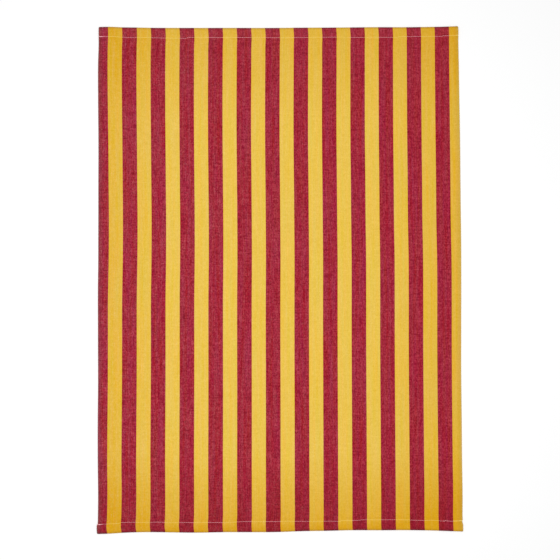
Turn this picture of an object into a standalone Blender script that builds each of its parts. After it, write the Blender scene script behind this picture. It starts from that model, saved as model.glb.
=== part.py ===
"""Tea towel: one cut length of striped cotton, lying flat and face up.

The long sides are selvedges. The short ends are turned twice to the back and sewn,
so each end is a band three layers thick. Units are metres, +Z is up, the stripes run
along Y, and the origin is on the surface under the middle of the towel.
"""

import math
from collections import namedtuple

import bmesh
import bpy

# Driving dimensions
WIDTH = 0.501  # selvedge to selvedge
LENGTH = 0.697  # fold to fold, before the ends' own unevenness
CLOTH = 0.0010  # height of the single cloth
HEM = 0.0021  # height of the three layers of a hem, at its fullest
STITCH_FROM_FOLD = 0.0132  # the sewn line
HEM_BAND = 0.0152  # fold to the hem's inner edge
STRIPE = 0.0198  # a full stripe, red or yellow
FIRST_STRIPE = 0.0127  # the cut-short red stripe on the left selvedge
FULL_STRIPES = 24
SELVEDGE = 0.0040  # the firm woven edge
SELVEDGE_EXTRA = 0.00012  # how much higher it stands than the cloth
BODY_STEP = 0.030  # spacing of the rows between the hems
CORNER_RADIUS = 0.0014
EDGE_ROUND = 0.00038  # rounding of every outer edge
EDGE_SEGMENTS = 2
SHARP_EDGE = math.radians(60)

NAME = "towel_cloth"
COLLECTION = "tea_towel"

# Height across a hem, from its outer fold to the single cloth, with the trough that
# the stitches pull in
HemRow = namedtuple("HemRow", "from_fold height")
HEM_ROWS = (
    HemRow(0.0, 0.66 * HEM),
    HemRow(0.0007, 0.88 * HEM),
    HemRow(0.0020, 0.97 * HEM),
    HemRow(0.0070, 1.00 * HEM),
    HemRow(STITCH_FROM_FOLD - 0.0016, 0.95 * HEM),
    HemRow(STITCH_FROM_FOLD, 0.80 * HEM),
    HemRow(STITCH_FROM_FOLD + 0.0011, 0.88 * HEM),
    HemRow(HEM_BAND, 0.84 * HEM),
    HemRow(HEM_BAND + 0.0014, 1.12 * CLOTH),
    HemRow(HEM_BAND + 0.0050, CLOTH),
)

# How far each side strays outwards from a straight cut, by the place along it
SideRow = namedtuple("SideRow", "along left right")
SIDE_ROWS = (
    SideRow(-0.3485, 0.0003, 0.0000),
    SideRow(-0.3270, 0.0005, -0.0003),
    SideRow(-0.3050, 0.0003, 0.0000),
    SideRow(-0.2500, 0.0008, -0.0003),
    SideRow(-0.2000, 0.0010, -0.0002),
    SideRow(-0.1400, 0.0005, -0.0004),
    SideRow(-0.0850, 0.0007, 0.0000),
    SideRow(-0.0300, 0.0009, 0.0006),
    SideRow(0.0250, 0.0005, 0.0011),
    SideRow(0.0800, 0.0004, 0.0011),
    SideRow(0.1350, 0.0004, 0.0010),
    SideRow(0.1900, 0.0003, 0.0009),
    SideRow(0.2480, 0.0009, 0.0005),
    SideRow(0.3000, 0.0009, 0.0000),
    SideRow(0.3250, 0.0001, -0.0002),
    SideRow(0.3485, 0.0000, -0.0006),
)

# How far each hemmed end strays outwards, by the place across it: the corners reach
# further than the middle, because the sewn hem has drawn in
EndRow = namedtuple("EndRow", "across bottom top")
END_ROWS = (
    EndRow(-0.2505, 0.0027, 0.0019),
    EndRow(-0.2330, 0.0023, 0.0021),
    EndRow(-0.2170, 0.0013, 0.0014),
    EndRow(-0.2000, 0.0007, 0.0011),
    EndRow(-0.1800, 0.0005, 0.0006),
    EndRow(-0.1500, 0.0010, 0.0003),
    EndRow(-0.1180, 0.0015, 0.0001),
    EndRow(-0.0800, 0.0010, 0.0000),
    EndRow(-0.0020, 0.0010, -0.0003),
    EndRow(0.0310, 0.0000, -0.0001),
    EndRow(0.0670, -0.0004, -0.0001),
    EndRow(0.0970, -0.0010, 0.0000),
    EndRow(0.1300, -0.0008, 0.0002),
    EndRow(0.1800, -0.0007, 0.0000),
    EndRow(0.2120, 0.0000, 0.0003),
    EndRow(0.2300, 0.0007, 0.0005),
    EndRow(0.2505, 0.0014, 0.0011),
)

# At a corner the folded layers flare out past the selvedge, and the sewn line
# pinches them in. A flare below zero draws the layers in instead.
Corner = namedtuple("Corner", "side end flare pinch")
CORNERS = (
    Corner(side=-1, end=-1, flare=0.0020, pinch=0.0),
    Corner(side=1, end=-1, flare=0.0004, pinch=0.0009),
    Corner(side=-1, end=1, flare=-0.0001, pinch=0.0002),
    Corner(side=1, end=1, flare=0.0001, pinch=0.0001),
)
FLARE_REACH = 0.018  # how far in from the side a flare fades out
FLARE_AT_FOLD = 0.75  # the share of its flare that a corner has right at the fold
FLARE_END_POWER = 10  # how sharply a flare ends at the sewn line
PINCH_WIDTH = 0.0022

Cotton = namedtuple("Cotton", "name colour")
COTTONS = (
    Cotton("red_cotton", (0.362, 0.027, 0.046)),
    Cotton("yellow_cotton", (0.823, 0.539, 0.083)),
)
COTTON_ROUGHNESS = 0.85


def smooth_row(rows, key, column, at):
    """Read a column of a table at a place between its rows, on a smooth curve."""
    keys = [getattr(row, key) for row in rows]
    values = [getattr(row, column) for row in rows]
    at = min(max(at, keys[0]), keys[-1])
    i = max(k for k in range(len(keys) - 1) if keys[k] <= at)

    def slope(k):
        before, after = max(k - 1, 0), min(k + 1, len(keys) - 1)
        return (values[after] - values[before]) / (keys[after] - keys[before])

    span = keys[i + 1] - keys[i]
    t = (at - keys[i]) / span
    return (
        values[i] * (1 + 2 * t) * (1 - t) ** 2
        + values[i + 1] * t * t * (3 - 2 * t)
        + slope(i) * span * t * (1 - t) ** 2
        - slope(i + 1) * span * t * t * (1 - t)
    )


def columns():
    """Distances from the left selvedge of the grid's lines along the stripes."""
    left = [0.0, 0.35 * CORNER_RADIUS, CORNER_RADIUS, SELVEDGE]
    boundaries = [FIRST_STRIPE + i * STRIPE for i in range(FULL_STRIPES + 1)]
    right = [WIDTH - distance for distance in reversed(left)]
    return left + boundaries + right


def rows():
    """Distances from the bottom fold of the grid's lines along the hems."""
    bottom = [row.from_fold for row in HEM_ROWS]
    body = LENGTH - 2 * bottom[-1]
    count = round(body / BODY_STEP)
    middle = [bottom[-1] + body * i / count for i in range(1, count)]
    top = [LENGTH - distance for distance in reversed(bottom)]
    return bottom + middle + top


def height(x, y):
    """The cloth's height at a place measured from the left selvedge and bottom fold."""
    from_fold = min(y, LENGTH - y)
    hem = HEM_ROWS[-1].height
    for near, far in zip(HEM_ROWS, HEM_ROWS[1:]):
        if from_fold <= far.from_fold:
            share = (from_fold - near.from_fold) / (far.from_fold - near.from_fold)
            hem = near.height + share * (far.height - near.height)
            break
    from_side = min(x, WIDTH - x)
    return hem + SELVEDGE_EXTRA * max(0.0, 1 - from_side / SELVEDGE)


def round_corner(x, y):
    """Turn the square grid of a corner into one with a round outline."""
    inset_x = CORNER_RADIUS - min(x, WIDTH - x)
    inset_y = CORNER_RADIUS - min(y, LENGTH - y)
    if inset_x <= 0 or inset_y <= 0:
        return x, y
    share = 1 - max(inset_x, inset_y) / math.hypot(inset_x, inset_y)
    return (
        x + math.copysign(inset_x * share, WIDTH / 2 - x),
        y + math.copysign(inset_y * share, LENGTH / 2 - y),
    )


def corner_spread(side, x, y):
    """How far a corner's flare and pinch move a place outwards, to that side."""
    from_side = x if side < 0 else WIDTH - x
    fade = max(0.0, 1 - from_side / FLARE_REACH) ** 2
    spread = 0.0
    for corner in CORNERS:
        from_fold = y if corner.end < 0 else LENGTH - y
        if corner.side != side or from_fold > 2 * HEM_BAND:
            continue
        to_stitch = min(1.0, from_fold / STITCH_FROM_FOLD)
        widening = FLARE_AT_FOLD + (1 - FLARE_AT_FOLD) * to_stitch
        spread += corner.flare * widening * (1 - to_stitch**FLARE_END_POWER)
        from_stitch = (from_fold - STITCH_FROM_FOLD) / PINCH_WIDTH
        spread -= corner.pinch * math.exp(-(from_stitch**2))
    return spread * fade


def placed(x, y):
    """The final place of a grid point within the uneven outline."""
    across, along = x / WIDTH, y / LENGTH
    place_x, place_y = round_corner(x, y)
    place_x -= WIDTH / 2
    place_y -= LENGTH / 2
    left = smooth_row(SIDE_ROWS, "along", "left", place_y)
    right = smooth_row(SIDE_ROWS, "along", "right", place_y)
    bottom = smooth_row(END_ROWS, "across", "bottom", place_x)
    top = smooth_row(END_ROWS, "across", "top", place_x)
    place_x += right * across - left * (1 - across)
    place_x += corner_spread(1, x, y) - corner_spread(-1, x, y)
    place_y += top * along - bottom * (1 - along)
    return place_x, place_y


def cloth_grid():
    """The towel's underside as an open grid, with each point's height as a weight."""
    across, along = columns(), rows()
    cells_x, cells_y = len(across) - 1, len(along) - 1
    bm = bmesh.new()
    bmesh.ops.create_grid(bm, x_segments=cells_x, y_segments=cells_y, size=1.0)
    weight = bm.verts.layers.deform.new()
    for vert in bm.verts:
        x = across[round((vert.co.x + 1) / 2 * cells_x)]
        y = along[round((vert.co.y + 1) / 2 * cells_y)]
        vert[weight][0] = height(x, y) / (HEM + SELVEDGE_EXTRA)
        vert.co = (*placed(x, y), 0.0)
    first_boundary = FIRST_STRIPE - WIDTH / 2
    for face in bm.faces:
        stripe = math.floor((face.calc_center_median().x - first_boundary) / STRIPE) + 1
        face.material_index = stripe % len(COTTONS)
    mesh = bpy.data.meshes.new(NAME)
    bm.to_mesh(mesh)
    bm.free()
    return mesh


def cotton_material(cotton):
    material = bpy.data.materials.new(cotton.name)
    material.use_nodes = True
    shader = material.node_tree.nodes["Principled BSDF"]
    shader.inputs["Base Color"].default_value = (*cotton.colour, 1.0)
    shader.inputs["Roughness"].default_value = COTTON_ROUGHNESS
    shader.inputs["Metallic"].default_value = 0.0
    return material


def thicken(towel):
    """Give the grid its height, leaving its underside flat on the surface."""
    towel.vertex_groups.new(name="height")
    solid = towel.modifiers.new("cloth_height", "SOLIDIFY")
    solid.thickness = HEM + SELVEDGE_EXTRA
    solid.offset = 1.0
    solid.vertex_group = "height"
    rounding = towel.modifiers.new("rounded_edges", "BEVEL")
    rounding.width = EDGE_ROUND
    rounding.segments = EDGE_SEGMENTS
    rounding.limit_method = "ANGLE"
    rounding.angle_limit = SHARP_EDGE


def build_towel(collection):
    mesh = cloth_grid()
    for cotton in COTTONS:
        mesh.materials.append(cotton_material(cotton))
    towel = bpy.data.objects.new(NAME, mesh)
    collection.objects.link(towel)
    thicken(towel)
    mesh.shade_smooth()
    return towel


for old in list(bpy.data.objects):
    bpy.data.objects.remove(old, do_unlink=True)
tea_towel = bpy.data.collections.new(COLLECTION)
bpy.context.scene.collection.children.link(tea_towel)
build_towel(tea_towel)
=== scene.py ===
import math
from collections import namedtuple

import bpy
import numpy as np
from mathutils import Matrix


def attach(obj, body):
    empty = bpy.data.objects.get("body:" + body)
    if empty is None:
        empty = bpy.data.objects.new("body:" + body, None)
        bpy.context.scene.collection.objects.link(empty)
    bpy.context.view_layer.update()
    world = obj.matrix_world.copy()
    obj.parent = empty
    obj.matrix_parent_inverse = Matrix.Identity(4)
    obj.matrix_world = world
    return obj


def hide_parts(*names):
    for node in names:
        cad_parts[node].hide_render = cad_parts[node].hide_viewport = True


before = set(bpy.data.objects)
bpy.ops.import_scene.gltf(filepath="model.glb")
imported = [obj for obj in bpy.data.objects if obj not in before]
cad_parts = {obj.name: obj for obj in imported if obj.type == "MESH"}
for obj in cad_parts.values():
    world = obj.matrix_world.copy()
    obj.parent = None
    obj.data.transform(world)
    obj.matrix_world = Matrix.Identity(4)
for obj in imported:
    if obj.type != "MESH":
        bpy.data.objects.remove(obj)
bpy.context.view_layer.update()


# ---------------------------------------------------------------------------
# The towel: one cut length of yarn-dyed cotton in plain weave, red and yellow warp
# stripes on an ecru weft. Its long sides are the loom's own selvedges. Each short end
# is turned twice to the back, so a hem is three layers of the same cloth.
# ---------------------------------------------------------------------------
CLOTH_WIDTH = 0.501
CLOTH_LENGTH = 0.697  # fold to fold
CLOTH_THICK = 0.00050
SELVEDGE = 0.0040  # the firm woven edge, and how much thicker it is
SELVEDGE_EXTRA = 0.00008
HEM_BAND = 0.0152  # outer fold to the hem's inner turn
STITCH_FROM_FOLD = 0.0132
RAW_EDGE = 0.0019  # the cut edge, inside the hem, stops this far from the outer fold
LAYER_RISE = 0.00066  # from one layer of a hem to the next, middle to middle
PRESSED_RISE = 0.00052  # the same where the seam holds the layers together
HEM_PUFF = 0.00007  # how much each layer bulges between the fold and the seam
SEAM_DENT = 0.00020  # how far the seam draws up the underside
SEAM_WIDE = 0.0009
STEP_STARTS = 0.0002  # this far before the inner turn the top layer starts to come down
STEP_DOWN = 0.0034  # to the table, over this length
STRIPE = 0.0198  # from one stripe's start to the next one's, on average
FIRST_STRIPE = 0.0127  # the red stripe on the left selvedge is cut short
YELLOW_NARROWER = 0.0004  # than the average stripe; the red ones are that much wider

# The rows of the cloth's mesh across a hem, by how far in from the outer fold they are.
# They lie closest beside the seam, where the cloth dents.
ROWS_PAST_HEM = np.linspace(0.0260, 0.0150, 14)
ROWS_BY_SEAM = STITCH_FROM_FOLD + np.array([0.0012, 0.0008, 0.0004, 0, -0.0004, -0.0008, -0.0013])
ROWS_TO_FOLD = np.linspace(0.0108, LAYER_RISE, 8)
ROWS_BENEATH = np.linspace(LAYER_RISE, 0.0110, 4)
ROWS_INSIDE = np.linspace(0.0110, RAW_EDGE, 4)
FOLD_ROWS = 9
TURN_ROWS = 6
BODY_ROWS = 80
COLUMN_STEP = 0.00215
CORNER_COLUMNS = (0.0, 0.3, 0.65)  # shares of a rounded corner

# How far each selvedge strays outwards from a straight cut, by the place along it, and
# how far the stripes have drifted to the right at the left selvedge, halfway and at the
# right selvedge
SideRow = namedtuple("SideRow", "along left right drift_left drift_middle drift_right")
SIDE_ROWS = (
    SideRow(-0.3485, 0.0003, 0.0000, -0.0005, 0.0004, 0.0001),
    SideRow(-0.3410, 0.0004, -0.0001, -0.0016, -0.0001, -0.0002),
    SideRow(-0.3270, 0.0005, -0.0003, -0.0012, 0.0003, -0.0003),
    SideRow(-0.3050, 0.0003, 0.0000, -0.0007, 0.0003, 0.0001),
    SideRow(-0.2500, 0.0008, -0.0003, -0.0010, 0.0004, -0.0001),
    SideRow(-0.2000, 0.0010, -0.0002, -0.0007, 0.0006, -0.0002),
    SideRow(-0.1400, 0.0005, -0.0004, -0.0002, 0.0007, -0.0002),
    SideRow(-0.0850, 0.0007, 0.0000, -0.0001, 0.0008, 0.0000),
    SideRow(-0.0300, 0.0009, 0.0006, -0.0001, 0.0010, 0.0005),
    SideRow(0.0250, 0.0005, 0.0011, 0.0009, 0.0014, 0.0007),
    SideRow(0.0800, 0.0004, 0.0011, 0.0012, 0.0013, 0.0000),
    SideRow(0.1350, 0.0004, 0.0010, 0.0007, 0.0011, 0.0001),
    SideRow(0.1900, 0.0003, 0.0009, 0.0003, 0.0008, 0.0000),
    SideRow(0.2480, 0.0009, 0.0005, -0.0006, 0.0010, -0.0002),
    SideRow(0.3000, 0.0009, 0.0000, -0.0010, 0.0015, -0.0004),
    SideRow(0.3250, 0.0001, -0.0002, -0.0006, 0.0017, -0.0003),
    SideRow(0.3350, 0.0001, -0.0003, -0.0001, 0.0021, -0.0004),
    SideRow(0.3485, 0.0000, -0.0006, -0.0003, 0.0013, -0.0007),
)

# How far each hemmed end strays outwards, by the place across it
EndRow = namedtuple("EndRow", "across bottom top")
END_ROWS = (
    EndRow(-0.2505, 0.0027, 0.0019),
    EndRow(-0.2330, 0.0023, 0.0021),
    EndRow(-0.2170, 0.0013, 0.0014),
    EndRow(-0.2000, 0.0007, 0.0011),
    EndRow(-0.1800, 0.0005, 0.0006),
    EndRow(-0.1500, 0.0010, 0.0003),
    EndRow(-0.1180, 0.0015, 0.0001),
    EndRow(-0.0800, 0.0010, 0.0000),
    EndRow(-0.0020, 0.0010, -0.0003),
    EndRow(0.0310, 0.0000, -0.0001),
    EndRow(0.0670, -0.0004, -0.0001),
    EndRow(0.0970, -0.0010, 0.0000),
    EndRow(0.1300, -0.0008, 0.0002),
    EndRow(0.1800, -0.0007, 0.0000),
    EndRow(0.2120, 0.0000, 0.0003),
    EndRow(0.2300, 0.0007, 0.0005),
    EndRow(0.2505, 0.0014, 0.0011),
)

# The two seams were sewn by eye: how far each runs from its fold, by the place across.
# Where the machine was stopped and started again a seam jogs sideways.
SeamRow = namedtuple("SeamRow", "across from_fold")
BOTTOM_SEAM = (
    SeamRow(-0.2505, 0.0131),
    SeamRow(-0.2272, 0.0130),
    SeamRow(-0.2196, 0.0130),
    SeamRow(-0.2178, 0.0140),
    SeamRow(-0.1873, 0.0131),
    SeamRow(-0.1680, 0.0136),
    SeamRow(-0.1488, 0.0129),
    SeamRow(-0.1282, 0.0137),
    SeamRow(-0.1090, 0.0138),
    SeamRow(-0.0884, 0.0131),
    SeamRow(-0.0691, 0.0132),
    SeamRow(-0.0499, 0.0143),
    SeamRow(0.0106, 0.0142),
    SeamRow(0.0298, 0.0132),
    SeamRow(0.0697, 0.0129),
    SeamRow(0.0810, 0.0123),
    SeamRow(0.0840, 0.0132),
    SeamRow(0.1060, 0.0132),
    SeamRow(0.1135, 0.0142),
    SeamRow(0.1686, 0.0141),
    SeamRow(0.1879, 0.0134),
    SeamRow(0.1990, 0.0134),
    SeamRow(0.2085, 0.0139),
    SeamRow(0.2200, 0.0133),
    SeamRow(0.2400, 0.0138),
    SeamRow(0.2505, 0.0149),
)
TOP_SEAM = (
    SeamRow(-0.2505, 0.0134),
    SeamRow(-0.2300, 0.0134),
    SeamRow(-0.2105, 0.0139),
    SeamRow(-0.1897, 0.0135),
    SeamRow(-0.1640, 0.0141),
    SeamRow(-0.1507, 0.0143),
    SeamRow(-0.1310, 0.0145),
    SeamRow(-0.1270, 0.0131),
    SeamRow(-0.0500, 0.0133),
    SeamRow(0.0080, 0.0136),
    SeamRow(0.0859, 0.0134),
    SeamRow(0.1067, 0.0141),
    SeamRow(0.1620, 0.0142),
    SeamRow(0.1680, 0.0130),
    SeamRow(0.2055, 0.0132),
    SeamRow(0.2270, 0.0133),
    SeamRow(0.2295, 0.0126),
    SeamRow(0.2505, 0.0127),
)
SEAM_PULL = 0.0040  # the cloth each side of a seam follows it over about this length

# At a corner the turned layers flare out past the selvedge, the seam pinches them, the
# layers beneath reach a little further than the top one, and the corner lifts
Corner = namedtuple("Corner", "side end flare pinch beneath lift")
CORNERS = (
    Corner(side=-1, end=-1, flare=0.0018, pinch=0.0, beneath=0.0003, lift=0.0007),
    Corner(side=1, end=-1, flare=0.0003, pinch=0.0009, beneath=0.0002, lift=0.0004),
    Corner(side=-1, end=1, flare=-0.0001, pinch=0.0002, beneath=-0.0002, lift=0.0005),
    Corner(side=1, end=1, flare=0.0001, pinch=0.0001, beneath=0.0001, lift=0.0003),
)
FLARE_REACH = 0.018
FLARE_HOLDS = 10  # the power that keeps a flare up until just before the seam
FLARE_AT_FOLD = 0.75  # the share of it that is there at the fold
PINCH_WIDTH = 0.0022
LIFT_REACH = 0.035
CORNER_ROUND = 0.0014

# Soft swells where the pressed cloth doesn't lie quite flat: where each one is, which
# way it runs (degrees from +X), how long and wide it is, and its height
Swell = namedtuple("Swell", "x y turn long wide high")
SWELLS = (
    Swell(-0.150, 0.235, 78, 0.110, 0.022, 0.00035),
    Swell(0.060, 0.150, 98, 0.160, 0.030, 0.00040),
    Swell(0.185, 0.020, 84, 0.130, 0.024, 0.00030),
    Swell(-0.070, -0.060, 70, 0.140, 0.034, 0.00040),
    Swell(0.120, -0.190, 102, 0.120, 0.026, 0.00035),
    Swell(-0.190, -0.215, 92, 0.090, 0.020, 0.00030),
    Swell(0.010, -0.290, 12, 0.100, 0.016, 0.00025),
    Swell(0.170, 0.285, 8, 0.090, 0.018, 0.00025),
)

# The selvedges ripple, because they are woven tighter than the middle
EDGE_WAVE = 0.00035
EDGE_WAVE_LONG = 0.088
EDGE_WAVE_REACH = 0.016
EDGE_WAVE_STRAYS = 0.35  # how far a ripple is off its even place, in ripples
EDGE_WAVE_STRAYS_LONG = 0.071
EDGE_WAVE_START = 1.9  # the angle they start at, on the right; on the left it is minus this

# The small ripples that a seam draws up in the cloth beside it
PUCKER = 0.00013
PUCKER_LONG = 0.0094
PUCKER_REACH = 0.011
PUCKER_MEAN = 0.6  # they grow and shrink about this share of their height
PUCKER_SWING = 0.4
PUCKER_SWING_LONG = 0.043
# The angle they start at, for each end of the towel. How far they are off their even
# places, over what length that changes, and the angle that it starts at.
PUCKER_STARTS = ((-1, 0.4), (1, 2.3))
PUCKER_STRAYS = ((0.0021, 0.0310, 0.0), (0.0013, 0.0117, 1.1))

TINY = 1e-12  # keeps a division clear of zero


def along_curve(rows, key, column, at):
    """Read a column of a table at many places between its rows, on a smooth curve."""
    keys = np.array([getattr(row, key) for row in rows])
    values = np.array([getattr(row, column) for row in rows])
    slopes = np.gradient(values, keys)
    at = np.clip(at, keys[0], keys[-1])
    i = np.clip(np.searchsorted(keys, at, side="right") - 1, 0, len(keys) - 2)
    span = keys[i + 1] - keys[i]
    t = (at - keys[i]) / span
    return (
        values[i] * (1 + 2 * t) * (1 - t) ** 2
        + values[i + 1] * t * t * (3 - 2 * t)
        + slopes[i] * span * t * (1 - t) ** 2
        - slopes[i + 1] * span * t * t * (1 - t)
    )


def bell(distance, width):
    """1 at no distance, falling away to both sides over about this width."""
    return np.exp(-((distance / width) ** 2))


def fading(distance, reach):
    """1 at no distance, and 0 from the reach on."""
    return np.clip(1 - distance / reach, 0, 1) ** 2


def ripple(angle):
    """A wave between 0 and 1."""
    return 0.5 + 0.5 * np.sin(angle)


def soft_step(x):
    """0 below 0 and 1 above 1, with a soft step between."""
    x = np.clip(x, 0.0, 1.0)
    return x * x * (3 - 2 * x)


def layer_height(layer, inwards):
    """Height of a hem's layer (0 beneath, 1 inside, 2 on top) this far from its fold."""
    at_seam = bell(inwards - STITCH_FROM_FOLD, SEAM_WIDE)
    puff = HEM_PUFF * np.sin(math.pi * np.clip(inwards / STITCH_FROM_FOLD, 0, 1))
    rise = LAYER_RISE + puff - (LAYER_RISE - PRESSED_RISE) * at_seam
    past_hem = soft_step((inwards - HEM_BAND + STEP_STARTS) / STEP_DOWN)
    return CLOTH_THICK / 2 + (SEAM_DENT * at_seam + layer * rise) * (1 - past_hem)


def hem_rows():
    """One hem seen from its end. Each row has its distance in from the outer fold, its
    height, and its layer: the cloth goes over the hem, round the fold, back beneath,
    round the inner turn, and inside to the raw edge."""
    over = np.concatenate([ROWS_PAST_HEM, ROWS_BY_SEAM, ROWS_TO_FOLD])
    beneath = np.concatenate([ROWS_BENEATH, ROWS_BY_SEAM[-2::-1]])
    inside = np.concatenate([ROWS_BY_SEAM[:-1], ROWS_INSIDE])
    low = CLOTH_THICK / 2
    fold = np.linspace(0, math.pi, FOLD_ROWS)[1:-1]
    fold_in = LAYER_RISE * (1 - np.sin(fold))
    fold_up = low + LAYER_RISE * (1 + np.cos(fold))
    turn = np.linspace(0, math.pi, TURN_ROWS)
    turn_radius = LAYER_RISE / 2
    turn_in = HEM_BAND - turn_radius * (1 - np.sin(turn))
    turn_up = low + turn_radius * (1 - np.cos(turn))
    parts = (
        (over, layer_height(2, over), np.full(len(over), 2.0)),
        (fold_in, fold_up, 1 + np.cos(fold)),
        (beneath, layer_height(0, beneath), np.zeros(len(beneath))),
        (turn_in, turn_up, turn / math.pi),
        (inside, layer_height(1, inside), np.ones(len(inside))),
    )
    return np.concatenate([np.stack(part, axis=1) for part in parts])


def cloth_rows():
    """Every row of the cloth, from one raw edge to the other: its place along the towel
    from the bottom fold, its height, its layer, and the cloth's length up to it."""
    hem = hem_rows()
    body = np.linspace(hem[0, 0], CLOTH_LENGTH - hem[0, 0], BODY_ROWS + 2)[1:-1]
    body = np.stack([body, np.full(BODY_ROWS, CLOTH_THICK / 2), np.full(BODY_ROWS, 2.0)], axis=1)
    rows = np.concatenate([hem[::-1], body, hem * [-1, 1, 1] + [CLOTH_LENGTH, 0, 0]])
    steps = np.linalg.norm(np.diff(rows[:, :2], axis=0), axis=1)
    return (*rows.T, np.concatenate([[0.0], np.cumsum(steps)]))


def on_table(x, y, layer):
    """Where a place in the straight cut lies on the table, from the towel's middle."""
    # the seams draw the cloth beside them along
    for end, seam, from_fold in ((1, BOTTOM_SEAM, y), (-1, TOP_SEAM, CLOTH_LENGTH - y)):
        across, runs = zip(*seam)
        strays = np.interp(x - CLOTH_WIDTH / 2, across, runs) - STITCH_FROM_FOLD
        y = y + end * strays * bell(from_fold - STITCH_FROM_FOLD, SEAM_PULL)
    # round corners
    inset_x = np.maximum(CORNER_ROUND - np.minimum(x, CLOTH_WIDTH - x), 0)
    inset_y = np.maximum(CORNER_ROUND - np.maximum(np.minimum(y, CLOTH_LENGTH - y), 0), 0)
    longer = np.maximum(inset_x, inset_y)
    share = 1 - longer / np.maximum(np.hypot(inset_x, inset_y), TINY)
    px = x - CLOTH_WIDTH / 2 + np.sign(CLOTH_WIDTH / 2 - x) * inset_x * share
    py = y - CLOTH_LENGTH / 2 + np.sign(CLOTH_LENGTH / 2 - y) * inset_y * share
    # the uneven outline, with the stripes' own drift inside it
    across, along = x / CLOTH_WIDTH, y / CLOTH_LENGTH
    side = {name: along_curve(SIDE_ROWS, "along", name, py) for name in SideRow._fields[1:]}
    straight_drift = side["drift_left"] * (1 - across) + side["drift_right"] * across
    halfway = (side["drift_left"] + side["drift_right"]) / 2
    drift = straight_drift + (side["drift_middle"] - halfway) * 4 * across * (1 - across)
    by_left = 1 - soft_step(x / FIRST_STRIPE)
    by_right = 1 - soft_step((CLOTH_WIDTH - x) / FIRST_STRIPE)
    move_x = drift * (1 - by_left) * (1 - by_right)
    move_x = move_x - side["left"] * by_left + side["right"] * by_right
    bottom = along_curve(END_ROWS, "across", "bottom", px)
    top = along_curve(END_ROWS, "across", "top", px)
    # corners
    for corner in CORNERS:
        from_side = x if corner.side < 0 else CLOTH_WIDTH - x
        from_fold = np.maximum(y if corner.end < 0 else CLOTH_LENGTH - y, 0)
        to_seam = np.minimum(from_fold / STITCH_FROM_FOLD, 1)
        in_hem = (1 - to_seam**FLARE_HOLDS) * (FLARE_AT_FOLD + (1 - FLARE_AT_FOLD) * to_seam)
        spread = (corner.flare + corner.beneath * (1 - layer / 2)) * in_hem
        spread = spread - corner.pinch * bell(from_fold - STITCH_FROM_FOLD, PINCH_WIDTH)
        move_x = move_x + corner.side * spread * fading(from_side, FLARE_REACH)
    return px + move_x, py + top * along - bottom * (1 - along)


def relief(px, py, layer):
    """How far the cloth stands off the table: swells, rippled selvedges, lifted corners,
    and the puckers of its top layer along the seams."""
    rise = np.zeros_like(px)
    for swell in SWELLS:
        turn = math.radians(swell.turn)
        lengthways = (px - swell.x) * math.cos(turn) + (py - swell.y) * math.sin(turn)
        sideways = (py - swell.y) * math.cos(turn) - (px - swell.x) * math.sin(turn)
        rise = rise + swell.high * bell(lengthways, swell.long) * bell(sideways, swell.wide)
    for side in (-1, 1):
        from_side = CLOTH_WIDTH / 2 - side * px
        strays = EDGE_WAVE_STRAYS * np.sin(py / EDGE_WAVE_STRAYS_LONG + side)
        angle = 2 * math.pi * (py / EDGE_WAVE_LONG + strays) + EDGE_WAVE_START * side
        rise = rise + EDGE_WAVE * ripple(angle) * bell(from_side, EDGE_WAVE_REACH)
    for corner in CORNERS:
        away = np.hypot(CLOTH_WIDTH / 2 - corner.side * px, CLOTH_LENGTH / 2 - corner.end * py)
        rise = rise + corner.lift * fading(away, LIFT_REACH)
    for end, start in PUCKER_STARTS:
        from_seam = CLOTH_LENGTH / 2 - STITCH_FROM_FOLD - end * py
        strayed = px
        for far, every, angle in PUCKER_STRAYS:
            strayed = strayed + far * np.sin(px / every + angle)
        pucker = PUCKER * ripple(2 * math.pi * strayed / PUCKER_LONG + start)
        strength = PUCKER_MEAN + PUCKER_SWING * np.sin(px / PUCKER_SWING_LONG + 2 * start)
        rise = rise + pucker * strength * bell(from_seam, PUCKER_REACH) * layer / 2
    return rise


def selvedge_extra(x):
    """How much further its two faces stand from the cloth's middle, near a selvedge."""
    from_selvedge = np.minimum(x, CLOTH_WIDTH - x)
    return SELVEDGE_EXTRA / 2 * np.clip(1 - from_selvedge / SELVEDGE, 0, 1)


row_y, row_z, row_layer, row_run = cloth_rows()
CUT_LENGTH = float(row_run[-1])
corner_columns = CORNER_ROUND * np.array(CORNER_COLUMNS)
inner_columns = np.arange(CORNER_ROUND, CLOTH_WIDTH / 2, COLUMN_STEP)
half = np.concatenate([corner_columns, inner_columns])
columns = np.concatenate([half, CLOTH_WIDTH - half[::-1]])

grid_x, grid_y = np.meshgrid(columns, row_y)
grid_layer = np.repeat(row_layer[:, None], len(columns), axis=1)
place_x, place_y = on_table(grid_x, grid_y, grid_layer)
place_z = row_z[:, None] + relief(place_x, place_y, grid_layer) + selvedge_extra(grid_x)
middle = np.stack([place_x, place_y, place_z], axis=-1)


def unit(vectors):
    return vectors / np.maximum(np.linalg.norm(vectors, axis=-1, keepdims=True), TINY)


# The sheet's two faces stand half a thickness off its middle, joined by a rounded rim
RIM_ROUND = 0.8  # how far the rim bulges, as a share of half the thickness
across_way = unit(np.gradient(middle, axis=1))
along_way = unit(np.gradient(middle, axis=0))
outwards = unit(np.cross(across_way, along_way))
half_thick = CLOTH_THICK / 2 + selvedge_extra(grid_x)
face_side = middle + outwards * half_thick[..., None]
back_side = middle - outwards * half_thick[..., None]

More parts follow.
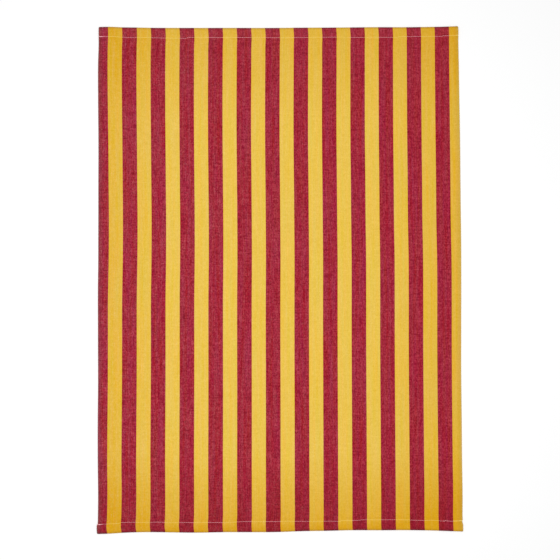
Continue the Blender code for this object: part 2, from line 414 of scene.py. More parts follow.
count_y, count_x = grid_x.shape
number = np.arange(count_x * count_y).reshape(count_y, count_x)
quads = (number[:-1, :-1], number[:-1, 1:], number[1:, 1:], number[1:, :-1])
quads = np.stack(quads, axis=-1).reshape(-1, 4)
border = (number[0, :-1], number[:-1, -1], number[-1, :0:-1], number[:0:-1, 0])
border_way = (-along_way, across_way, along_way, -across_way)
ring = np.concatenate(border)
edge_way = np.concatenate([way.reshape(-1, 3)[part] for way, part in zip(border_way, border)])
rim = middle.reshape(-1, 3)[ring] + edge_way * half_thick.reshape(-1)[ring][:, None] * RIM_ROUND
back_at, rim_at = number.size, 2 * number.size
following = np.roll(np.arange(len(ring)), -1)
rim_numbers = rim_at + np.arange(len(ring))
upper_rim = (ring, rim_numbers, rim_numbers[following], ring[following])
lower_rim = (rim_numbers, back_at + ring, back_at + ring[following], rim_numbers[following])
rim_faces = (np.stack(upper_rim, axis=1), np.stack(lower_rim, axis=1))
faces = np.concatenate([quads, back_at + quads[:, ::-1], *rim_faces])
vertices = np.concatenate([face_side.reshape(-1, 3), back_side.reshape(-1, 3), rim])

cloth_mesh = bpy.data.meshes.new("striped_towel")
cloth_mesh.from_pydata(vertices.tolist(), [], faces.tolist())
cloth_mesh.shade_smooth()

# One map holds each place's distance across and along the cut cloth, in metres, so the
# stripes and the weave follow the cloth round its folds. The other lays the two faces
# out side by side, with the strips of the rim above them, for baking.
grid_run = np.repeat(row_run[:, None], count_x, axis=1)
cut_place = np.stack([grid_x, grid_run], axis=-1).reshape(-1, 2)
weave_places = np.concatenate([cut_place, cut_place, cut_place[ring]])
MAP_EDGE = 0.01
MAP_SCALE = (0.5 - 1.5 * MAP_EDGE) / CLOTH_WIDTH
STRIPS_LOW = 0.76
STRIP_PITCH = 0.03
STRIP_HIGH = 0.009
bake_face = MAP_EDGE + cut_place * MAP_SCALE
bake_back = bake_face + [0.5 - MAP_EDGE / 2, 0.0]
side_number = np.repeat(np.arange(4), [len(part) for part in border])
edge_steps = np.linalg.norm(cut_place[ring[following]] - cut_place[ring], axis=1)
edge_run = np.concatenate([np.cumsum(edge_steps[side_number == i]) for i in range(4)])
strip_end = MAP_EDGE + edge_run * MAP_SCALE
strip_start = strip_end - edge_steps * MAP_SCALE
strip_low = STRIPS_LOW + STRIP_PITCH * side_number


def strip_corners(outer, inner):
    """The map of a row of rim faces, between two heights in their strip."""
    corners = ((strip_start, outer), (strip_start, inner), (strip_end, inner), (strip_end, outer))
    corners = [np.stack([place, strip_low + up], axis=1) for place, up in corners]
    return np.stack(corners, axis=1).reshape(-1, 2)


bake_places = np.concatenate(
    [
        bake_face[quads.ravel()],
        bake_back[quads[:, ::-1].ravel()],
        strip_corners(2 * STRIP_HIGH, STRIP_HIGH),
        strip_corners(STRIP_HIGH, 0.0),
    ]
)
for map_name, places in (("weave", weave_places[faces.ravel()]), ("OFBake", bake_places)):
    uv_map = cloth_mesh.uv_layers.new(name=map_name)
    uv_map.uv.foreach_set("vector", places.astype(np.float32).ravel())

towel = bpy.data.objects.new("striped_towel", cloth_mesh)
bpy.context.scene.collection.objects.link(towel)


def linear(srgb):
    """An sRGB hex colour as the linear numbers that a shader takes."""
    parts = [int(srgb[i : i + 2], 16) / 255 for i in (1, 3, 5)]
    return (*[p / 12.92 if p <= 0.04045 else ((p + 0.055) / 1.055) ** 2.4 for p in parts], 1.0)


def add(tree, kind, inputs=None, **settings):
    """Add a node with its settings, and give its inputs values or other nodes' outputs."""
    made = tree.nodes.new(kind)
    for name, value in settings.items():
        setattr(made, name, value)
    for key, value in (inputs or {}).items():
        if isinstance(value, bpy.types.NodeSocket):
            tree.links.new(value, made.inputs[key])
        else:
            made.inputs[key].default_value = value
    return made.outputs


# Yarn-dyed cotton in a warp-faced plain weave: matt and faintly downy. The eye gets
# flat colour with a dry look, broken by short dashes and long streaks of thick and thin
# warp, and by pale flecks where the ecru weft comes up between the warp ends.
# Each dye, and its colour where the painted shade towards the towel's edges is deepest
RED_YARN = "#98152d"
RED_IN_EDGE_SHADE = "#8d0b22"
YELLOW_YARN = "#e0ba49"
YELLOW_IN_EDGE_SHADE = "#d29b0c"
WEFT_IN_RED = "#eeb4ae"  # the ecru weft, tinted by the dyed ends on each side of it
WEFT_IN_YELLOW = "#f3e6bd"
WARP_PITCH = 0.00045  # one end of the warp to the next
WEFT_PITCH = 0.00050
# Both dyes are drawn deeper and darker towards the edges, as painted shade for the light
# falling off there: from where to where each edge's painted shade runs, from the towel's middle, and how
# deep each dye gets there
EdgeShade = namedtuple("EdgeShade", "across_towel faded full red yellow")
EDGE_SHADES = (
    EdgeShade(across_towel=False, faded=-0.243, full=-0.345, red=1.0, yellow=0.75),
    EdgeShade(across_towel=False, faded=-0.336, full=-0.350, red=0.0, yellow=0.40),
    EdgeShade(across_towel=False, faded=0.222, full=0.350, red=0.30, yellow=0.47),
    EdgeShade(across_towel=True, faded=-0.150, full=-0.250, red=0.0, yellow=0.50),
    EdgeShade(across_towel=True, faded=0.135, full=0.250, red=0.0, yellow=0.50),
)
# Single yarns are too fine to show in a view of the whole towel, so their unevenness
# is drawn two ends or picks wide, and the weave's relief one and a half times its size
DRAWN_COARSER = 1.5
DRAWN_END = 2 * WARP_PITCH
DRAWN_PICK = 2 * WEFT_PITCH
DASH_LONG = 0.0022  # a short thick or thin place in an end
FLECK_LONG = 0.0015  # a place where a pick comes up
STREAK_LONG = 0.034  # a long thick or thin place in an end, and one in a pick
PICK_STREAK_LONG = 0.014
NOISE_LOW = 0.2  # a noise's tone seldom leaves this range
NOISE_HIGH = 0.8
NOISE_SWING = 0.25  # and mostly stays this close to a half
END_HUE = 0.007  # how far the dyed ends' hue strays, as a share of the colour wheel
HUE_BAND = 0.0038  # in bands of ends about this wide
HUE_LONG = 0.110
HUE_EVENED = 0.040  # how much darker a greener yellow is, so the bands look equally light
DIP_SHADE = 0.14  # how much the tone swings as an end comes up over a pick and dips under: painted shade of the weave
RED_DASHES = 0.50  # how far the red tone strays in dashes, in streaks, and across in picks
RED_STREAKS = 0.42
RED_PICKS = 0.60
YELLOW_CALMER = 0.19
RED_BEST_DYED = 1.020  # how saturated a band of ends is where it took the dye best
RED_LEAST_DYED = 0.955
YELLOW_BEST_DYED = 1.035
YELLOW_LEAST_DYED = 0.970
RED_PALER = 0.13  # how much less saturated an end is where its tone is lighter
YELLOW_PALER = 0.05
EDGE_SHADE_EVENER = 0.55  # the share of that unevenness left where the painted edge shade is deepest
YARN_WANDER = 0.0003  # how far a yarn wanders to each side of its line
YARN_WANDER_LONG = 0.0040
WEFT_LEFT = 0.0195  # the share of a stripe that is weft, at the left selvedge
WEFT_RIGHT = 0.0050  # and at the right one, so the stripes are drawn a little paler on the left
FLECK_POWER = 2.0  # the higher, the fewer and brighter the flecks
FLECK_GAIN = 2.4  # brings the flecks' mean back to the share named
GAP_TONES = (0.25, 0.75)  # a streak's tones where no weft shows, and where twice as much does
WEFT_PATCH = 0.0065  # the weft shows more and less in patches about this wide
PATCH_TONES = (0.1, 0.9)  # the same two tones of a patch
WEFT_AT_SELVEDGE = 0.05
WEFT_AT_SELVEDGE_WIDE = 0.006
WEFT_IN_TOP_HEM = 0.012  # the red is drawn paler there, with more weft colour mixed in
TOP_HEM_RANGE = (0.334, 0.338)  # past the cloth's middle
RED_SELVEDGE_SHADE = 0.66  # the tone along the firm edges, darkened as painted shade
YELLOW_SELVEDGE_SHADE = 0.83
SELVEDGE_SHADE_WIDE = 0.0072
RED_FOLD_SHADE = 0.44  # and on a hem's outer fold, painted shade where the yarns bend out of the light
YELLOW_FOLD_SHADE = 0.68
FOLD_SHADE_WIDE = 0.0036
RELIEF = 0.0002  # how high a knuckle of the weave stands, and how strongly that shades it
RELIEF_STRENGTH = 0.35
STREAK_RELIEF = 0.8  # how much higher a thick end stands, in knuckles
COTTON_IOR = 1.53

cotton = bpy.data.materials.new("yarn_dyed_cotton")
cotton.use_nodes = True
tree = cotton.node_tree
shader = tree.nodes["Principled BSDF"]
cut = add(tree, "ShaderNodeUVMap", uv_map="weave")["UV"]
u, v, _ = add(tree, "ShaderNodeSeparateXYZ", {"Vector": cut})

# which stripe
first_yellow = FIRST_STRIPE + YELLOW_NARROWER / 2
past_first = add(tree, "ShaderNodeMath", {0: u, 1: first_yellow}, operation="SUBTRACT")[0]
in_pair = {0: past_first, 1: 2 * STRIPE}
in_pair = add(tree, "ShaderNodeMath", in_pair, operation="FLOORED_MODULO")[0]
is_yellow = {0: in_pair, 1: STRIPE - YELLOW_NARROWER}
is_yellow = add(tree, "ShaderNodeMath", is_yellow, operation="LESS_THAN")[0]

# painted shade towards the edges: how much deeper and darker each dye is drawn there
u_middle = add(tree, "ShaderNodeMath", {0: u, 1: CLOTH_WIDTH / 2}, operation="SUBTRACT")[0]
v_middle = add(tree, "ShaderNodeMath", {0: v, 1: CUT_LENGTH / 2}, operation="SUBTRACT")[0]
red_edge_shading, yellow_edge_shading = 0.0, 0.0
for band in EDGE_SHADES:
    place = u_middle if band.across_towel else v_middle
    near_edge = {"Value": place, "From Min": band.faded, "From Max": band.full}
    near_edge = add(tree, "ShaderNodeMapRange", near_edge)[0]
    red_edge_shading = {0: near_edge, 1: band.red, 2: red_edge_shading}
    red_edge_shading = add(tree, "ShaderNodeMath", red_edge_shading, operation="MULTIPLY_ADD", use_clamp=True)[0]
    yellow_edge_shading = {0: near_edge, 1: band.yellow, 2: yellow_edge_shading}
    yellow_edge_shading = add(tree, "ShaderNodeMath", yellow_edge_shading, operation="MULTIPLY_ADD", use_clamp=True)[0]
red = {0: red_edge_shading, 6: linear(RED_YARN), 7: linear(RED_IN_EDGE_SHADE)}
red = add(tree, "ShaderNodeMix", red, data_type="RGBA")[2]
yellow = {0: yellow_edge_shading, 6: linear(YELLOW_YARN), 7: linear(YELLOW_IN_EDGE_SHADE)}
yellow = add(tree, "ShaderNodeMix", yellow, data_type="RGBA")[2]
dyed = add(tree, "ShaderNodeMix", {0: is_yellow, 6: red, 7: yellow}, data_type="RGBA")[2]


def dashes(tree, run_along, run_across, long, wide):
    """A tone from 0 to 1 for each short length of each yarn, starting anywhere along it."""
    yarn = add(tree, "ShaderNodeMath", {0: run_across, 1: wide}, operation="DIVIDE")[0]
    yarn = add(tree, "ShaderNodeMath", {0: yarn}, operation="FLOOR")[0]
    start = add(tree, "ShaderNodeTexWhiteNoise", {"W": yarn}, noise_dimensions="1D")["Value"]
    lengths = {0: run_along, 1: 1 / long, 2: start}
    lengths = add(tree, "ShaderNodeMath", lengths, operation="MULTIPLY_ADD")[0]
    dash = add(tree, "ShaderNodeMath", {0: lengths}, operation="FLOOR")[0]
    place = add(tree, "ShaderNodeCombineXYZ", {"X": yarn, "Y": dash})[0]
    return add(tree, "ShaderNodeTexWhiteNoise", {"Vector": place}, noise_dimensions="2D")["Value"]


# thick and thin warp and weft, in yarns that wander a little, and bands of ends
wander = {"Vector": cut, "Scale": 1 / YARN_WANDER_LONG, "Detail": 1.0}
wander = add(tree, "ShaderNodeTexNoise", wander, noise_dimensions="2D")["Color"]
wander = {0: wander, 1: (0.5, 0.5, 0.5)}
wander = add(tree, "ShaderNodeVectorMath", wander, operation="SUBTRACT")[0]
sway = YARN_WANDER / NOISE_SWING
wander = {0: wander, 1: (sway, sway, 0.0), 2: cut}
wander = add(tree, "ShaderNodeVectorMath", wander, operation="MULTIPLY_ADD")[0]
yarn_u, yarn_v, _ = add(tree, "ShaderNodeSeparateXYZ", {"Vector": wander})
warp_dash = dashes(tree, yarn_v, yarn_u, DASH_LONG, DRAWN_END)
long_noises = []
sizes = ((DRAWN_END, STREAK_LONG), (PICK_STREAK_LONG, DRAWN_PICK), (HUE_BAND, HUE_LONG))
for across, along in sizes:
    place = {"Vector": cut, "Scale": (1 / across, 1 / along, 1)}
    noise = {"Vector": add(tree, "ShaderNodeMapping", place)[0], "Scale": 1.0, "Detail": 1.0}
    long_noises.append(add(tree, "ShaderNodeTexNoise", noise, noise_dimensions="2D"))
streak, pick, bands = long_noises
unevenness = 0.0
for part, strays in ((warp_dash, RED_DASHES), (streak[0], RED_STREAKS), (pick[0], RED_PICKS)):
    about_zero = {0: part, 1: strays, 2: -strays / 2}
    about_zero = add(tree, "ShaderNodeMath", about_zero, operation="MULTIPLY_ADD")[0]
    unevenness = add(tree, "ShaderNodeMath", {0: unevenness, 1: about_zero}, operation="ADD")[0]

# the warp was dyed in hanks, so its hue and its depth stray from one band of ends to the
# next, and an end is paler wherever its tone is lighter
hue_band, dye_band, _ = add(tree, "ShaderNodeSeparateXYZ", {"Vector": bands["Color"]})
hue_band = {"Value": hue_band, "From Min": NOISE_LOW, "From Max": NOISE_HIGH}
hue = {**hue_band, "To Min": 0.5 - END_HUE, "To Max": 0.5 + END_HUE}
hue = add(tree, "ShaderNodeMapRange", hue)[0]
evened = {**hue_band, "To Min": HUE_EVENED, "To Max": -HUE_EVENED}
evened = add(tree, "ShaderNodeMapRange", evened)[0]
evened = add(tree, "ShaderNodeMath", {0: evened, 1: is_yellow, 2: 1.0}, operation="MULTIPLY_ADD")[0]
least = {"Value": is_yellow, "To Min": RED_LEAST_DYED, "To Max": YELLOW_LEAST_DYED}
least = add(tree, "ShaderNodeMapRange", least)[0]
best = {"Value": is_yellow, "To Min": RED_BEST_DYED, "To Max": YELLOW_BEST_DYED}
best = add(tree, "ShaderNodeMapRange", best)[0]
taken = {"Value": dye_band, "From Min": NOISE_LOW, "From Max": NOISE_HIGH}
taken = add(tree, "ShaderNodeMapRange", {**taken, "To Min": least, "To Max": best})[0]
paler = {"Value": is_yellow, "To Min": -RED_PALER, "To Max": -YELLOW_PALER}
paler = add(tree, "ShaderNodeMapRange", paler)[0]
taken = {0: unevenness, 1: paler, 2: taken}
taken = add(tree, "ShaderNodeMath", taken, operation="MULTIPLY_ADD")[0]
evener = {"Value": red_edge_shading, "To Min": 1.0, "To Max": EDGE_SHADE_EVENER}
evener = add(tree, "ShaderNodeMapRange", evener)[0]
strayed = {"Hue": hue, "Saturation": taken, "Value": evened, "Fac": evener, "Color": dyed}
dyed = add(tree, "ShaderNodeHueSaturation", strayed)[0]

# plain weave: 1 where an end of the warp comes up over the weft, -1 where it dips under
waves = []
for place, pitch in ((u, WARP_PITCH), (v, WEFT_PITCH)):
    wave = {0: place, 1: math.pi / (pitch * DRAWN_COARSER)}
    wave = add(tree, "ShaderNodeMath", wave, operation="MULTIPLY")[0]
    waves.append(add(tree, "ShaderNodeMath", {0: wave}, operation="SINE")[0])
over_under = add(tree, "ShaderNodeMath", {0: waves[0], 1: waves[1]}, operation="MULTIPLY")[0]

# painted shade: darker where an end dips, along the selvedges and on the outer folds
calmer = {"Value": is_yellow, "To Min": 1.0, "To Max": YELLOW_CALMER}
calmer = add(tree, "ShaderNodeMapRange", calmer)[0]
tone = {0: unevenness, 1: calmer, 2: 1.0}
tone = add(tree, "ShaderNodeMath", tone, operation="MULTIPLY_ADD")[0]
far_u = add(tree, "ShaderNodeMath", {0: u_middle}, operation="ABSOLUTE")[0]
at_selvedge = {"Value": is_yellow, "To Min": RED_SELVEDGE_SHADE, "To Max": YELLOW_SELVEDGE_SHADE}
at_selvedge = add(tree, "ShaderNodeMapRange", at_selvedge)[0]
half_width = CLOTH_WIDTH / 2
edge_shade = {"Value": far_u, "From Min": half_width - SELVEDGE_SHADE_WIDE, "From Max": half_width}
edge_shade = add(tree, "ShaderNodeMapRange", {**edge_shade, "To Min": 1.0, "To Max": at_selvedge})[0]
tone = add(tree, "ShaderNodeMath", {0: tone, 1: edge_shade}, operation="MULTIPLY")[0]
at_fold = {"Value": is_yellow, "To Min": RED_FOLD_SHADE, "To Max": YELLOW_FOLD_SHADE}
at_fold = add(tree, "ShaderNodeMapRange", at_fold)[0]
for fold_run in (row_run[np.argmin(row_y)], row_run[np.argmax(row_y)]):
    from_fold = add(tree, "ShaderNodeMath", {0: v, 1: float(fold_run)}, operation="SUBTRACT")[0]
    from_fold = add(tree, "ShaderNodeMath", {0: from_fold}, operation="ABSOLUTE")[0]
    fold_shade = {"Value": from_fold, "From Max": FOLD_SHADE_WIDE, "To Min": at_fold, "To Max": 1.0}
    fold_shade = add(tree, "ShaderNodeMapRange", fold_shade)[0]
    tone = add(tree, "ShaderNodeMath", {0: tone, 1: fold_shade}, operation="MULTIPLY")[0]
dip_shade = {0: over_under, 1: DIP_SHADE, 2: 1.0}
dip_shade = add(tree, "ShaderNodeMath", dip_shade, operation="MULTIPLY_ADD")[0]
tone = add(tree, "ShaderNodeMath", {0: tone, 1: dip_shade}, operation="MULTIPLY")[0]
toned = add(tree, "ShaderNodeVectorMath", {0: dyed, "Scale": tone}, operation="SCALE")[0]

# weft showing through, most of all at the selvedges where it turns
weft_fleck = dashes(tree, yarn_u, yarn_v, FLECK_LONG, DRAWN_PICK)
weft_seen = add(tree, "ShaderNodeMath", {0: weft_fleck, 1: FLECK_POWER}, operation="POWER")[0]
gaps = {"Value": streak[0], "From Min": GAP_TONES[0], "From Max": GAP_TONES[1], "To Max": 2.0}
gaps = add(tree, "ShaderNodeMapRange", gaps)[0]
share = {"Value": u, "From Max": CLOTH_WIDTH}
share = {**share, "To Min": FLECK_GAIN * WEFT_LEFT, "To Max": FLECK_GAIN * WEFT_RIGHT}
share = add(tree, "ShaderNodeMapRange", share)[0]
weft_up = {"Value": over_under, "From Min": 1.0, "From Max": -1.0, "To Max": 2.0}
weft_up = add(tree, "ShaderNodeMapRange", weft_up)[0]
weft_up = add(tree, "ShaderNodeMath", {0: weft_up, 1: FLECK_POWER}, operation="POWER")[0]
patch = {"Vector": cut, "Scale": 1 / WEFT_PATCH, "Detail": 1.0}
patch = add(tree, "ShaderNodeTexNoise", patch, noise_dimensions="2D")[0]
patch = {"Value": patch, "From Min": PATCH_TONES[0], "From Max": PATCH_TONES[1], "To Max": 2.0}
patch = add(tree, "ShaderNodeMapRange", patch)[0]
for part in (gaps, share, weft_up, patch):
    weft_seen = add(tree, "ShaderNodeMath", {0: weft_seen, 1: part}, operation="MULTIPLY")[0]
in_top_hem = {"Value": v_middle, "From Min": TOP_HEM_RANGE[0], "From Max": TOP_HEM_RANGE[1]}
in_top_hem = add(tree, "ShaderNodeMapRange", {**in_top_hem, "To Max": WEFT_IN_TOP_HEM})[0]
is_red = add(tree, "ShaderNodeMath", {0: 1.0, 1: is_yellow}, operation="SUBTRACT")[0]
weft_seen = {0: in_top_hem, 1: is_red, 2: weft_seen}
weft_seen = add(tree, "ShaderNodeMath", weft_seen, operation="MULTIPLY_ADD")[0]
by_selvedge = {"Value": far_u, "From Min": half_width - WEFT_AT_SELVEDGE_WIDE, "From Max": half_width}
by_selvedge = add(tree, "ShaderNodeMapRange", {**by_selvedge, "To Max": WEFT_AT_SELVEDGE})[0]
weft_share = add(tree, "ShaderNodeMath", {0: weft_seen, 1: by_selvedge}, operation="ADD")[0]
weft = {0: is_yellow, 6: linear(WEFT_IN_RED), 7: linear(WEFT_IN_YELLOW)}
weft = add(tree, "ShaderNodeMix", weft, data_type="RGBA")[2]
colour = add(tree, "ShaderNodeMix", {0: weft_share, 6: toned, 7: weft}, data_type="RGBA")[2]
tree.links.new(colour, shader.inputs["Base Color"])

# relief of the weave, with thick and thin ends
knuckle = {"Value": over_under, "From Min": -1.0, "From Max": 1.0}
knuckle = add(tree, "ShaderNodeMapRange", knuckle)[0]
height = {0: streak[0], 1: STREAK_RELIEF, 2: knuckle}
height = add(tree, "ShaderNodeMath", height, operation="MULTIPLY_ADD")[0]
bump = {"Height": height, "Strength": RELIEF_STRENGTH, "Distance": RELIEF}
bump = add(tree, "ShaderNodeBump", bump)["Normal"]
tree.links.new(bump, shader.inputs["Normal"])
shader.inputs["Roughness"].default_value = 0.88
shader.inputs["IOR"].default_value = COTTON_IOR
shader.inputs["Specular IOR Level"].default_value = 0.15
shader.inputs["Sheen Weight"].default_value = 0.03
shader.inputs["Sheen Roughness"].default_value = 0.6
cloth_mesh.materials.append(cotton)

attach(towel, "root")
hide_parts("towel_cloth")


# ---------------------------------------------------------------------------
# The weft's turns: along both selvedges each ecru pick goes round the last warp end
# and back into the cloth, so the firm edge has a row of small pale loops.
# ---------------------------------------------------------------------------
TURN_PITCH = 0.0012  # two picks, drawn a little coarser than they are
TURN_GAP = 0.24  # half the way between the two picks of a turn, in pitches
TURNS_START = 0.001  # from the raw edges
WEFT_RADIUS = 0.00010
WEFT_SUNK = 0.6  # how far a pick's middle lies off the cloth's face, in radii
TURN_PROUD = 0.00012  # past the last warp end
TURN_DEPTH = 0.0006  # how far in each pick can be seen
OFF_TABLE = 1.4  # no yarn's middle lies lower than this, in radii
SAME_PLACE = 0.000001


def on_cloth(x, run, lift, radius):
    """Where a yarn's middle lies, at a place of the cut cloth and this far off its middle."""
    y, z, layer = (np.interp(run, row_run, row) for row in (row_y, row_z, row_layer))
    way = unit(np.stack([np.gradient(row_y, row_run), np.gradient(row_z, row_run)], axis=1))
    way_y, way_z = np.interp(run, row_run, way[:, 0]), np.interp(run, row_run, way[:, 1])
    px, py = on_table(x, y, layer)
    height = z + relief(px, py, layer) + selvedge_extra(x) + way_y * lift
    return np.stack([px, py - way_z * lift, np.maximum(height, OFF_TABLE * radius)], axis=-1)


def yarn_piece(name, paths, radius, resolution):
    """Lay yarns of this radius along the paths, as one mesh."""
    curve = bpy.data.curves.new(name, "CURVE")
    curve.dimensions = "3D"
    curve.bevel_depth = radius
    curve.bevel_resolution = resolution
    curve.use_fill_caps = True
    for path in paths:
        spline = curve.splines.new("POLY")
        spline.points.add(len(path) - 1)
        spline.points.foreach_set("co", np.column_stack([path, np.ones(len(path))]).ravel())
    yarn = bpy.data.objects.new(name, curve)
    bpy.context.scene.collection.objects.link(yarn)
    bpy.ops.object.select_all(action="DESELECT")
    yarn.select_set(True)
    bpy.context.view_layer.objects.active = yarn
    bpy.ops.object.convert(target="MESH")
    bpy.ops.object.mode_set(mode="EDIT")
    bpy.ops.mesh.select_all(action="SELECT")
    bpy.ops.mesh.remove_doubles(threshold=SAME_PLACE)
    bpy.ops.mesh.normals_make_consistent(inside=False)
    bpy.ops.object.mode_set(mode="OBJECT")
    yarn.data.shade_smooth()
    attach(yarn, "root")
    return yarn


# A turn comes up on the face, goes round the edge halfway and dives in on the back
turn_inwards = np.array([1.0, 0.5, 0.0, -0.2, 0.0, 0.5, 1.0])
turn_lift = np.array([0.6, 1.0, 0.8, 0.0, -0.8, -1.0, -0.6])
turn_lift = turn_lift * (CLOTH_THICK / 2 + WEFT_RADIUS * WEFT_SUNK)
turn_along = np.array([-1.0, -1.0, -0.8, 0.0, 0.8, 1.0, 1.0]) * TURN_PITCH * TURN_GAP
turn_x = np.where(turn_inwards < 0, -TURN_PROUD, turn_inwards * TURN_DEPTH)
turns = []
for run in np.arange(TURNS_START, CUT_LENGTH - TURNS_START, TURN_PITCH):
    turns.append(on_cloth(turn_x, run + turn_along, turn_lift, WEFT_RADIUS))
    turns.append(on_cloth(CLOTH_WIDTH - turn_x, run + turn_along, turn_lift, WEFT_RADIUS))
selvedge_turns = yarn_piece("selvedge_turns", turns, WEFT_RADIUS, resolution=0)

# Undyed cotton yarn: matt and soft, a warm off-white, with fibres that scatter light
ECRU_DARK = "#c9b99a"
ECRU_PALE = "#f1e8d6"
WEFT_SLUBS = 900.0  # to the metre: a thick place about every millimetre
FLUFF = 0.00005  # how far its fibres stand off, and how strongly that shades it
FLUFF_STRENGTH = 0.4
ecru = bpy.data.materials.new("undyed_cotton_yarn")
ecru.use_nodes = True
tree = ecru.node_tree
shader = tree.nodes["Principled BSDF"]
at = add(tree, "ShaderNodeTexCoord")["Object"]
slub = add(tree, "ShaderNodeTexNoise", {"Vector": at, "Scale": WEFT_SLUBS, "Detail": 2.0})[0]
shade = {0: slub, 6: linear(ECRU_DARK), 7: linear(ECRU_PALE)}
shade = add(tree, "ShaderNodeMix", shade, data_type="RGBA")[2]
tree.links.new(shade, shader.inputs["Base Color"])
fluff = {"Height": slub, "Strength": FLUFF_STRENGTH, "Distance": FLUFF}
fluff = add(tree, "ShaderNodeBump", fluff)["Normal"]
tree.links.new(fluff, shader.inputs["Normal"])
shader.inputs["Roughness"].default_value = 0.85
shader.inputs["IOR"].default_value = COTTON_IOR
shader.inputs["Specular IOR Level"].default_value = 0.3
selvedge_turns.data.materials.append(ecru)


# ---------------------------------------------------------------------------
# The hem seams: one row of lockstitch holds each hem, in ecru thread. The thread lies
# on both faces, dives through all three layers at each hole, and is sewn back over
# itself for a few stitches where the machine stopped.
# ---------------------------------------------------------------------------
THREAD_RADIUS = 0.00017
THREAD_PROUD = 0.00007  # the thread's middle above the cloth, halfway along a stitch
THREAD_DIVE = 0.00020  # and below it, in a hole
STITCH_POINTS = 7
STITCH_FLAT = 0.4  # the power that makes a stitch steep at its holes and flat between them
HOLE_STRAY = 0.0002  # how far a hole is off its even place along the row
ASIDE_STRAY = 0.00006  # and beside the row
SEWING_SEED = 11

# Each run of stitches: its hem, where it starts and finishes from the left selvedge,
# its stitch length, how far it lies beside the row, and how far its stitches zigzag
Seam = namedtuple("Seam", "end start finish stitch aside zigzag")
SEAMS = (
    Seam(end=-1, start=0.0006, finish=0.4747, stitch=0.0030, aside=0.0, zigzag=0.0),
    Seam(end=-1, start=0.4740, finish=0.4825, stitch=0.0014, aside=0.0002, zigzag=0.0009),
    Seam(end=-1, start=0.4822, finish=0.5004, stitch=0.0030, aside=-0.0002, zigzag=0.0),
    Seam(end=-1, start=0.4880, finish=0.4970, stitch=0.0024, aside=0.0003, zigzag=0.0),
    Seam(end=1, start=0.0006, finish=0.1207, stitch=0.0030, aside=0.0, zigzag=0.0),
    Seam(end=1, start=0.0006, finish=0.0081, stitch=0.0025, aside=-0.00032, zigzag=0.0),
    Seam(end=1, start=0.1200, finish=0.1260, stitch=0.0019, aside=0.0, zigzag=0.0004),
    Seam(end=1, start=0.1245, finish=0.5004, stitch=0.0030, aside=0.0, zigzag=0.0),
)

rng = np.random.default_rng(SEWING_SEED)
from_near_fold = np.minimum(row_y, CLOTH_LENGTH - row_y)
at_stitch = np.isclose(from_near_fold, STITCH_FROM_FOLD)


def stitched(seam, layer):
    """The path of a run's thread, on the face (layer 2) or on the back (layer 0)."""
    in_hem = (row_y > CLOTH_LENGTH / 2) == (seam.end > 0)
    row = np.flatnonzero(at_stitch & in_hem & (row_layer == layer))[0]
    holes = np.arange(seam.start, seam.finish, seam.stitch)
    holes = holes + rng.uniform(-HOLE_STRAY, HOLE_STRAY, len(holes))
    holes = np.clip(holes, seam.start, seam.finish)
    aside = rng.uniform(-ASIDE_STRAY, ASIDE_STRAY, len(holes))
    aside = aside + seam.zigzag * (-1.0) ** np.arange(len(holes))
    t = np.linspace(0, 1, STITCH_POINTS, endpoint=False)
    x = (holes[:-1, None] * (1 - t) + holes[1:, None] * t).ravel()
    off = (aside[:-1, None] * (1 - t) + aside[1:, None] * t).ravel() + seam.aside
    arc = np.tile(np.sin(math.pi * t) ** STITCH_FLAT, len(holes) - 1)
    lift = CLOTH_THICK / 2 - THREAD_DIVE + (THREAD_DIVE + THREAD_PROUD) * arc
    return on_cloth(x, row_run[row] + off, lift, THREAD_RADIUS)


# The two threads' loose ends where a seam starts or stops: how far in from the selvedge
# they part from the seam, how far past it they reach, how far beside it their tips lie,
# and how far they bow towards the fold (below zero) on the way
ThreadEnd = namedtuple("ThreadEnd", "end side inside past aside bow")
THREAD_ENDS = (
    ThreadEnd(end=-1, side=-1, inside=0.0070, past=0.0008, aside=0.0006, bow=-0.0012),
    ThreadEnd(end=-1, side=-1, inside=0.0040, past=0.0007, aside=0.0001, bow=-0.0006),
    ThreadEnd(end=1, side=-1, inside=0.0080, past=0.0003, aside=0.0004, bow=0.0),
    ThreadEnd(end=-1, side=1, inside=0.0060, past=0.0002, aside=0.0004, bow=0.0),
    ThreadEnd(end=1, side=1, inside=0.0030, past=0.0001, aside=0.0002, bow=0.0),
)
END_POINTS = 12
END_TWIST = 2.2  # how often a loose end's two threads half turn round each other
END_HEIGHT = 1.1  # their twist's middle above the cloth's face, in radii
END_SWING = 0.9  # and how far each goes up and down


def loose_end(tail, ply):
    """The path of one thread (ply 0 or 1) of a loose end, lying on the hem's face."""
    t = np.linspace(0, 1, END_POINTS)
    in_from_side = tail.inside - (tail.inside + tail.past) * t
    x = CLOTH_WIDTH / 2 + tail.side * (CLOTH_WIDTH / 2 - in_from_side)
    twist = math.pi * (END_TWIST * t + ply)
    beside = tail.aside * t + tail.bow * np.sin(math.pi * t) + THREAD_RADIUS * np.cos(twist)
    lift = CLOTH_THICK / 2 + THREAD_RADIUS * (END_HEIGHT + END_SWING * np.sin(twist))
    in_hem = (row_y > CLOTH_LENGTH / 2) == (tail.end > 0)
    row = np.flatnonzero(at_stitch & in_hem & (row_layer == 2))[0]
    return on_cloth(x, row_run[row] + beside, lift, THREAD_RADIUS)


seam_pieces = []
for end, name in ((-1, "bottom_hem_seam"), (1, "top_hem_seam")):
    paths = [stitched(seam, layer) for seam in SEAMS if seam.end == end for layer in (2, 0)]
    paths += [loose_end(tail, ply) for tail in THREAD_ENDS if tail.end == end for ply in (0, 1)]
    seam_pieces.append(yarn_piece(name, paths, THREAD_RADIUS, resolution=1))

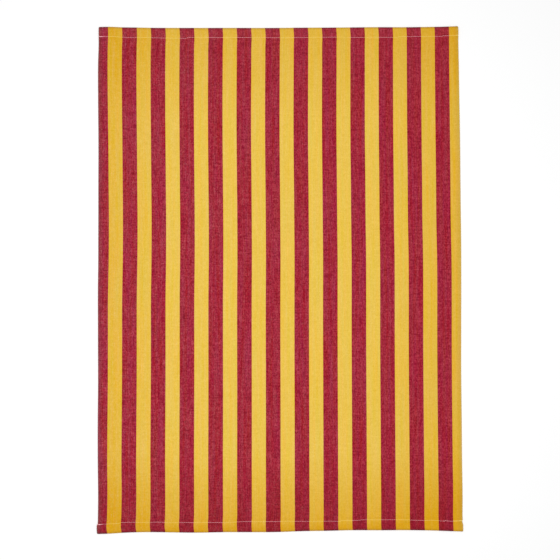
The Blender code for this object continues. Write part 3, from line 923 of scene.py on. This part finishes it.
# Spun sewing thread, smoother and brighter than the weft. It is fine and half sunk in
# the cloth, so it takes up some of the colour of the stripe that it lies in.
THREAD_IN_RED = ("#f6a0a6", "#ffccd0")
THREAD_IN_YELLOW = ("#f8d860", "#ffec90")
THREAD_SLUBS = 600.0  # to the metre
spun = bpy.data.materials.new("spun_sewing_thread")
spun.use_nodes = True
tree = spun.node_tree
shader = tree.nodes["Principled BSDF"]
at = add(tree, "ShaderNodeTexCoord")["Object"]
x, _, _ = add(tree, "ShaderNodeSeparateXYZ", {"Vector": at})
past_first = add(tree, "ShaderNodeMath", {0: x, 1: CLOTH_WIDTH / 2 - first_yellow}, operation="ADD")[0]
in_pair = {0: past_first, 1: 2 * STRIPE}
in_pair = add(tree, "ShaderNodeMath", in_pair, operation="FLOORED_MODULO")[0]
is_yellow = {0: in_pair, 1: STRIPE - YELLOW_NARROWER}
is_yellow = add(tree, "ShaderNodeMath", is_yellow, operation="LESS_THAN")[0]
slub = add(tree, "ShaderNodeTexNoise", {"Vector": at, "Scale": THREAD_SLUBS, "Detail": 2.0})[0]
shades = []
for dark, pale in (THREAD_IN_RED, THREAD_IN_YELLOW):
    shade = {0: slub, 6: linear(dark), 7: linear(pale)}
    shades.append(add(tree, "ShaderNodeMix", shade, data_type="RGBA")[2])
shade = {0: is_yellow, 6: shades[0], 7: shades[1]}
shade = add(tree, "ShaderNodeMix", shade, data_type="RGBA")[2]
tree.links.new(shade, shader.inputs["Base Color"])
shader.inputs["Roughness"].default_value = 0.7
shader.inputs["IOR"].default_value = COTTON_IOR
for piece in seam_pieces:
    piece.data.materials.append(spun)


# ---------------------------------------------------------------------------
# The floor: a plain pale surface that the towel lies on. It isn't part of the object.
# ---------------------------------------------------------------------------
FLOOR_SIZE = 8.0
FLOOR_BELOW = 0.0001
bpy.ops.object.select_all(action="DESELECT")
bpy.ops.mesh.primitive_plane_add(size=FLOOR_SIZE, location=(0, 0, -FLOOR_BELOW))
floor = bpy.context.object
floor.name = "floor"
bpy.ops.object.transform_apply(location=True)

# Matt white paint: no gloss
PAINT_WHITE = "#f9f9f9"
paint = bpy.data.materials.new("matt_white_paint")
paint.use_nodes = True
shader = paint.node_tree.nodes["Principled BSDF"]
shader.inputs["Base Color"].default_value = linear(PAINT_WHITE)
shader.inputs["Roughness"].default_value = 1.0
shader.inputs["Specular IOR Level"].default_value = 0.0
floor.data.materials.append(paint)


# ---------------------------------------------------------------------------
# Light and camera: one large soft light overhead in a pale room, and the camera above
# the towel, a little towards its bottom hem.
# ---------------------------------------------------------------------------
LIGHT_AT = (-0.10, -0.03, 1.98)
LIGHT_SIZE = 0.8
LIGHT_POWER = 29.2
ROOM_COLOUR = "#ffffff"
ROOM_LIGHT = 0.41
bpy.ops.object.light_add(type="AREA", location=LIGHT_AT)
softbox = bpy.context.object
softbox.name = "overhead_softbox"
softbox.data.shape = "DISK"
softbox.data.size = LIGHT_SIZE
softbox.data.energy = LIGHT_POWER
room = bpy.data.worlds.new("pale_room")
room.use_nodes = True
background = room.node_tree.nodes["Background"]
background.inputs["Color"].default_value = linear(ROOM_COLOUR)
background.inputs["Strength"].default_value = ROOM_LIGHT
bpy.context.scene.world = room
bpy.context.scene.view_settings.view_transform = "Standard"

CAMERA_AT = (0.0003, -0.0712, 1.8487)
CAMERA_TILT = math.radians(2.109)
CAMERA_TURN = math.radians(-0.228)
LENS = 85.865
SENSOR = 36.0
bpy.ops.object.camera_add(location=CAMERA_AT, rotation=(CAMERA_TILT, 0.0, CAMERA_TURN))
camera = bpy.context.object
camera.name = "camera"
camera.data.lens = LENS
camera.data.sensor_width = SENSOR
bpy.context.scene.camera = camera
